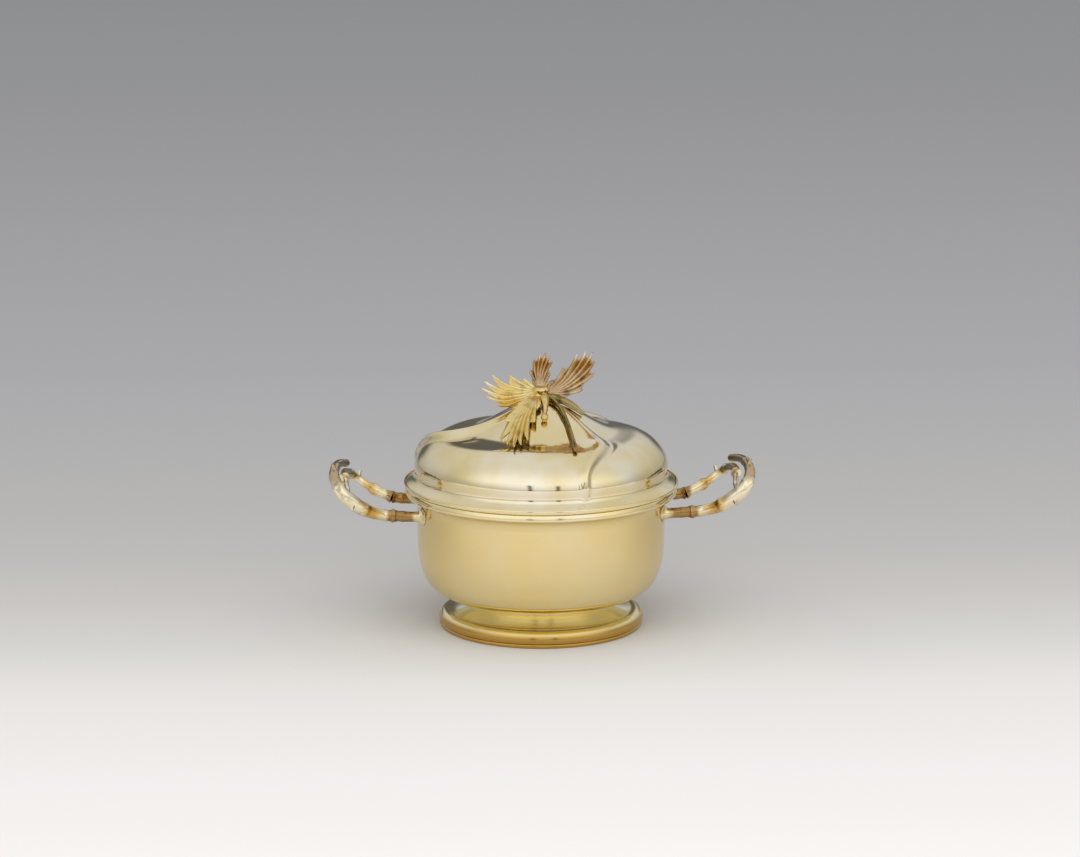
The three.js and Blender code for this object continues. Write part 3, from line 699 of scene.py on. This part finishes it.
for side, word in ((1, "right"), (-1, "left")):
    handle = word + "_handle_"
    front_bough = stems(
        {"points": mirrored(FRONT_PATH, side), "radius": front_radius, "bark": 0.05, "seed": side},
        snag(side, (71.2, -20.2, 52.0), (0.3, -0.9, -0.5), length=3.0, thickness=0.85),
        snag(side, (77.9, -9.5, 62.4), (0.4, 0.1, 1.0), length=2.6, thickness=0.8),
    )
    back_bough = stems(
        {"points": mirrored(BACK_PATH, side), "radius": back_radius, "bark": 0.05, "seed": 3 + side},
        snag(side, (69.0, 16.8, 54.2), (-0.2, 0.7, 0.7), length=2.6, thickness=0.8),
    )
    twig = stems(
        {
            "points": mirrored(TWIG_PATH, side),
            "radius": lambda share: 1.25 - 0.3 * share + 0.2 * bump(share, 0.5, 0.12),
            "sides": 12,
            "bark": 0.05,
        }
    )
    front_stub = root(side, across=-12.4, height=45.0, rise=0.45)
    back_stub = root(side, across=12.4, height=46.1, rise=0.8)
    for name, shape, finish, node in (
        ("front_bough", front_bough, CAST_GILT, "front_branch"),
        ("back_bough", back_bough, CAST_GILT, "back_branch"),
        ("front_stub", front_stub, ROOT_GILT, "front_root"),
        ("back_stub", back_stub, ROOT_GILT, "back_root"),
        ("side_twig", twig, CAST_GILT, "twig"),
    ):
        finished(handle + name, shape, finish, "box_body", handle + node, **CAST)


# --- Sprig -----------------------------------------------------------------------------------------

# Half of a leaf from its tip to its base: share of the length, share of the half width, and the
# flute, which is 1 along the middle of a finger and -1 in the notch between two.
LEAF_EDGE = [
    (1.0, 0.0, 1.0),
    (0.7, 0.16, -1.0),
    (0.93, 0.48, 0.9),
    (0.6, 0.4, -1.0),
    (0.8, 0.92, 1.0),
    (0.46, 0.58, -1.0),
    (0.47, 1.04, 1.0),
    (0.28, 0.56, -1.0),
    (0.2, 0.78, 0.7),
    (0.07, 0.36, -0.5),
    (0.02, 0.2, -0.3),
]
LEAF_COLUMNS, LEAF_ROWS = 120, 22
# The stalk's half width as a share of the leaf's, and how far a full web fills a notch
STALK_SHARE = 0.17
WEB_FILL = 0.3
# The flutes rise between two shares of the way from the stalk, and fall off towards the edge
FLUTE_DEPTH = 0.75
FLUTE_STARTS, FLUTE_FULL = 0.05, 0.8
FLUTE_FADE = 0.25
# The veins are a wave across the leaf, given by the radians in half of it, and fade the same way
VEIN_RELIEF = 0.1
VEIN_WAVE = 125.7
VEIN_FADE = 0.5
BLADE = {"slot": "cast_silver_gilt", "sheet": LEAF_SHEET, "subdivide": 1}


def leaf_edge(share):
    """The edge at a share from the lowest lobe on one side (-1) over the tip (0) to the other (1)."""
    place = abs(share) * (len(LEAF_EDGE) - 1)
    i = min(int(place), len(LEAF_EDGE) - 2)
    length, out, flute = (mix(a, b, place - i) for a, b in zip(LEAF_EDGE[i], LEAF_EDGE[i + 1]))
    return length, math.copysign(out, share), flute


def leaf(spine, across, half_width, cup, web=0.0):
    """A fluted leaf along its midrib, shaped from a grid. `cup` raises its sides, and `web` fills
    the notches between its fingers."""
    shape = bmesh.new()
    bmesh.ops.create_grid(shape, x_segments=LEAF_COLUMNS, y_segments=LEAF_ROWS, size=0.5)
    midrib = through(spine, 16)
    lengths = [0.0]
    for a, b in zip(midrib, midrib[1:]):
        lengths.append(lengths[-1] + (b - a).length)
    last = len(lengths) - 1

    def on_midrib(share):
        reach = min(max(share, 0.0), 1.0) * lengths[-1]
        i = next((i for i, length in enumerate(lengths) if length > reach), last)
        part = (reach - lengths[i - 1]) / (lengths[i] - lengths[i - 1])
        return midrib[i - 1].lerp(midrib[i], part), (midrib[i] - midrib[i - 1]).normalized()

    chord = (midrib[-1] - midrib[0]).normalized()
    side = Vector(across)
    side = (side - chord * side.dot(chord)).normalized()
    for vert in shape.verts:
        # A column of the grid is a ray from the stalk to the edge, and a row a share of that ray
        ray, row = vert.co.x * 2, vert.co.y + 0.5
        tip_along, tip_out, lobe = leaf_edge(ray)
        fill = 1 + web * max(-lobe, 0) * WEB_FILL
        out = mix(STALK_SHARE * ray, tip_out * fill, row)
        point, way = on_midrib(tip_along * fill * row)
        up = side.cross(way).normalized()
        veins = VEIN_RELIEF * math.cos(ray * VEIN_WAVE) * row * (1 - VEIN_FADE * row)
        rise = FLUTE_DEPTH * lobe * smoothstep(row, FLUTE_STARTS, FLUTE_FULL) * (1 - FLUTE_FADE * row)
        rise += cup * half_width * out**2 + veins
        vert.co = point + side * (half_width * out) + up * rise
    bmesh.ops.recalc_face_normals(shape, faces=shape.faces)
    return shape


def from_crown(*places):
    return [(x, y, z + LID_TOP) for x, y, z in places]


def on_dome(radius, bearing, lift):
    """A point above the lid's outer face."""
    above = [point for point in lid_face if point.x > radius][-1]
    below = next(point for point in lid_face[lid_face.index(above) :] if point.x <= radius)
    share = (above.x - radius) / (above.x - below.x)
    height = mix(above.y, below.y, share)
    return polar(radius, bearing, height + lid_relief(radius, bearing, height) + lift)


def dome_path(lift, *places):
    """Points over the lid, each by its radius, its bearing and how much higher than `lift` it is."""
    return [tuple(on_dome(radius, bearing, lift + more)) for radius, bearing, more in places]


left_leaf = leaf(
    from_crown((-1.6, 0.5, 3.4), (-8, -0.8, 2.0), (-15, -2.6, 1.9), (-23.6, -4.0, 5.4)),
    across=(-0.1, 0.7, 0.72), half_width=7.6, cup=0.35,
)
finished("sprig_left_leaf", left_leaf, SPRIG_GILT, "lid", "finial_left_leaf", **BLADE)

upright_leaf = leaf(
    from_crown((0.2, 0.8, 3.6), (-0.3, 2.4, 7.8), (0.3, 2.6, 12.5), (2.1, 1.8, 18.4)),
    across=(1, -0.1, -0.1), half_width=4.0, cup=0.25, web=0.7,
)
finished("sprig_upright_leaf", upright_leaf, SHADED_LEAF_GILT, "lid", "finial_upright_leaf", **BLADE)

right_leaf = leaf(
    from_crown(
        (2.2, 0.2, 2.4), (9.0, 0.6, 5.2), (14.2, 0.8, 9.9), (17.6, 0.8, 14.4), (19.9, 0.4, 18.7)
    ),
    across=(0.6, -0.2, -0.78), half_width=5.6, cup=0.25, web=0.8,
)
finished("sprig_right_leaf", right_leaf, SHADED_LEAF_GILT, "lid", "finial_right_leaf", **BLADE)

drooping_leaf = leaf(
    [
        on_dome(3.4, -27, 2.0),
        on_dome(9.5, -29, 2.3),
        on_dome(18.2, -28, 2.6),
        on_dome(28.2, -23.5, 2.0),
        on_dome(37.2, -19, 1.4),
    ],
    across=(-0.93, 0.36, 0), half_width=5.8, cup=-0.06,
)
finished("sprig_drooping_leaf", drooping_leaf, SPRIG_GILT, "lid", "finial_drooping_leaf", **BLADE)


def bud_radius(share):
    return 0.85 + 0.75 * bump(share, 0.25, 0.17) + 0.55 * bump(share, 0.86, 0.13)


def shoot_radius(share):
    return 0.82 - 0.2 * share + 0.18 * bump(share, 0.45, 0.05) + 0.35 * bump(share, 0.95, 0.07)


bud_path = dome_path(1.8, (3.0, 14, 1.2), (6.5, 10, 0.6), (10.8, 5, 0), (14.6, 2, 0), (16.9, 1, 0))
bud = stems({"points": bud_path, "radius": bud_radius, "bark": 0.08})
finished("sprig_bud", bud, SPRIG_GILT, "lid", "finial_bud", **CAST)

# A short thick stalk arches on the crown, and the thin shoot trails from it over the rib.
stalk_path = from_crown(
    (2.0, -0.8, 1.0), (5.8, -2.0, 0.9), (9.8, -3.0, -0.6), (13.2, -3.8, -2.8), (15.8, -4.4, -4.6)
)
shoot_path = dome_path(
    1.3, (3.2, 54, 0.8), (6.5, 46, 0.3), (10.5, 39, 0), (15, 33, 0), (20, 28, 0), (28.2, 22, 0),
    (36.8, 17, 0),
)
shoot = stems(
    {
        "points": stalk_path,
        "radius": lambda share: 1.8 - 1.0 * share + 0.25 * bump(share, 0.6, 0.1),
        "bark": 0.1,
    },
    {"points": shoot_path, "radius": shoot_radius, "bark": 0.1},
)
finished("sprig_shoot", shoot, SHOOT_GILT, "lid", "finial_shoot", **CAST)

# The knop is turned, with a hole for the stud, and then made uneven like a root stock outside a
# core that stays true.
STUD_HOLE = 1.45
STUD_HOLE_TOP = 89.25
KNOP_BASE = 86.85
KNOP_CORE = 2
UNEVENNESS = 0.22
UNEVEN_FINENESS = 0.55

knop_profile = [
    *through(
        [
            (3.9, KNOP_BASE), (4.1, 87.5), (3.3, 88.3), (2.7, 89.2), (3.1, 90.2), (3.3, 90.9),
            (2.2, 91.9),
        ],
        5,
    ),
    Vector((0, 92.3)),
    Vector((0, STUD_HOLE_TOP)),
    Vector((STUD_HOLE, STUD_HOLE_TOP)),
    Vector((STUD_HOLE, KNOP_BASE)),
]
knop = turned(knop_profile, steps=64)
for vert in knop.verts:
    if vert.co.to_2d().length > KNOP_CORE:
        spread = Vector((vert.co.x, vert.co.y, 0)) * UNEVENNESS
        vert.co += spread * noise.noise(vert.co * UNEVEN_FINENESS)
finished("sprig_knop", knop, SPRIG_GILT, "lid", "finial_knop", **CAST)


# --- Studio ----------------------------------------------------------------------------------------

# From here on lengths are in metres
FLOOR_REACH = 4.0
FAR_GREY = "#858789"
CAMERA_DISTANCE = 1.3
CAMERA_HEIGHT = math.radians(13.2)
CAMERA_TURN = math.radians(-3.5)
AIM_HEIGHT = 0.05
# The lens in millimetres, and in pixels of a picture 1080 wide
LENS_MM, SENSOR_MM = 114.035, 36.0
LENS_PIXELS = 3421
# How far the aim lies from the picture's middle, in the same pixels
AIM_DOWN, AIM_RIGHT = 66, 1


def studio_floor():
    """A pale sweep whose colour is painted darker behind the box, as the light falls off, down to
    grey.
    """
    shape = bmesh.new()
    bmesh.ops.create_grid(shape, x_segments=1, y_segments=1, size=FLOOR_REACH)
    mesh = bpy.data.meshes.new("studio_floor")
    shape.to_mesh(mesh)
    shape.free()
    floor = bpy.data.objects.new("studio_floor", mesh)
    bpy.context.scene.collection.objects.link(floor)
    material, tree = new_material("matt paper sweep")
    place = add(tree, "TexCoord")
    parts = add(tree, "SeparateXYZ", Vector=(place, "Object"))
    depth = span(tree, (parts, "Y"), start=-0.3, end=2.7, soft=False)
    fall = ramp(
        tree,
        depth,
        (0.0, "#EEEBE9"),
        (1.0, FAR_GREY),
        (0.02, "#E8E5E3"),
        (0.037, "#E6E2E1"),
        (0.071, "#DBD8D5"),
        (0.091, "#CBC9C6"),
        (0.113, "#BEBBB9"),
        (0.137, "#B4B2B0"),
        (0.164, "#ADACAB"),
        (0.194, "#A9A8A8"),
        (0.266, "#A09FA2"),
        (0.361, "#9A999C"),
        (0.489, "#939295"),
        (0.675, "#8C8C8E"),
    )
    shader = add(tree, "BsdfPrincipled", Base_Color=fall, Roughness=0.9, Specular_IOR_Level=0.0)
    add(tree, "OutputMaterial", Surface=(shader, "BSDF"))
    mesh.materials.append(material)


def overhead_fill():
    """A broad light from above the camera that only the sweep and other matt things take."""
    light = bpy.data.lights.new("overhead_fill", "SUN")
    light.energy, light.angle = 1.3, math.radians(70)
    lamp = bpy.data.objects.new("overhead_fill", light)
    lamp.location, lamp.rotation_euler = (0, -1.2, 2), (math.radians(35), 0, 0)
    lamp.visible_glossy = False
    bpy.context.scene.collection.objects.link(lamp)


def studio_world():
    """The room as the metal mirrors it: bright in front and overhead, softer at the sides, with a
    grey backdrop behind and two light stands in front."""
    world = bpy.data.worlds.new("studio room")
    bpy.context.scene.world = world
    world.use_nodes = True
    tree = world.node_tree
    tree.nodes.clear()
    way = add(tree, "TexCoord")
    parts = add(tree, "SeparateXYZ", Vector=(way, "Generated"))
    depth, height = (parts, "Y"), (parts, "Z")
    off_centre = sums(tree, "ABSOLUTE", (parts, "X"))
    front = ramp(
        tree,
        height,
        (0.0, "#BCBCBC"),
        (1.0, "#DCDCDC"),
        (0.1, "#C8C8C8"),
        (0.3, "#F0F0F0"),
        (0.5, "#FFFFFF"),
        (0.75, "#FAFAFA"),
        (0.9, "#EDEDED"),
    )
    sides = ramp(
        tree,
        height,
        (0.0, "#ACACAC"),
        (1.0, "#DCDCDC"),
        (0.15, "#B8B8B8"),
        (0.4, "#CACACA"),
        (0.7, "#D4D4D4"),
    )
    turned_away = span(tree, depth, start=-0.6, end=0.1)
    room = blend(tree, turned_away, front, sides)
    # Straight behind the box hangs the grey backdrop
    behind = span(tree, depth, start=0.76, end=0.88)
    within = span(tree, off_centre, start=0.09, end=0.19, low=1.0, high=0.0)
    backdrop = product(tree, behind, within)
    # Low down the backdrop is wider, and darkens the ends of every round
    low = span(tree, height, start=0.25, end=0.12, soft=False)
    wide = span(tree, off_centre, start=0.5, end=0.35, soft=False)
    dusk = product(tree, low, wide, turned_away)
    # In front, a light stand on each side of the camera shows as a small dark mark in the polish
    ahead = span(tree, depth, start=-0.8, end=-0.85, soft=False)
    inner = span(tree, off_centre, start=0.17, end=0.19, soft=False)
    outer = span(tree, off_centre, start=0.25, end=0.23, soft=False)
    below = span(tree, height, start=0.46, end=0.4, soft=False)
    stands = product(tree, inner, outer, ahead, below)
    for share, grey in ((backdrop, "#5C5C5C"), (dusk, "#606060"), (stands, "#4A4844")):
        room = blend(tree, share, room, linear(grey))
    lit = add(tree, "Background", Color=room, Strength=1.1)
    far_sweep = add(tree, "Background", Color=linear(FAR_GREY), Strength=1.0)
    seen = add(tree, "LightPath")
    shown = add(tree, "MixShader", _0=(seen, "Is Camera Ray"), _1=(lit, 0), _2=(far_sweep, 0))
    add(tree, "OutputWorld", Surface=(shown, 0))


def studio_camera():
    """The photograph's view: from the front, a little left of it and 13 degrees above."""
    camera = bpy.data.cameras.new("studio_camera")
    camera.lens, camera.sensor_width, camera.sensor_fit = LENS_MM, SENSOR_MM, "HORIZONTAL"
    camera.clip_start, camera.clip_end = 0.05, 50
    tripod = bpy.data.objects.new("studio_camera", camera)
    level_way = math.cos(CAMERA_HEIGHT)
    back = Vector((
        math.sin(CAMERA_TURN) * level_way,
        -math.cos(CAMERA_TURN) * level_way,
        math.sin(CAMERA_HEIGHT),
    ))
    tripod.location = Vector((0, 0, AIM_HEIGHT)) + back * CAMERA_DISTANCE
    level = (-back).to_track_quat("-Z", "Y").to_matrix()
    raised = Matrix.Rotation(math.atan(AIM_DOWN / LENS_PIXELS), 3, "X")
    swung = Matrix.Rotation(math.atan(AIM_RIGHT / LENS_PIXELS), 3, "Y")
    tripod.rotation_euler = (level @ raised @ swung).to_euler()
    bpy.context.scene.collection.objects.link(tripod)
    bpy.context.scene.camera = tripod


studio_floor()
studio_world()
studio_camera()
overhead_fill()

bpy.context.scene.view_settings.view_transform = "Standard"
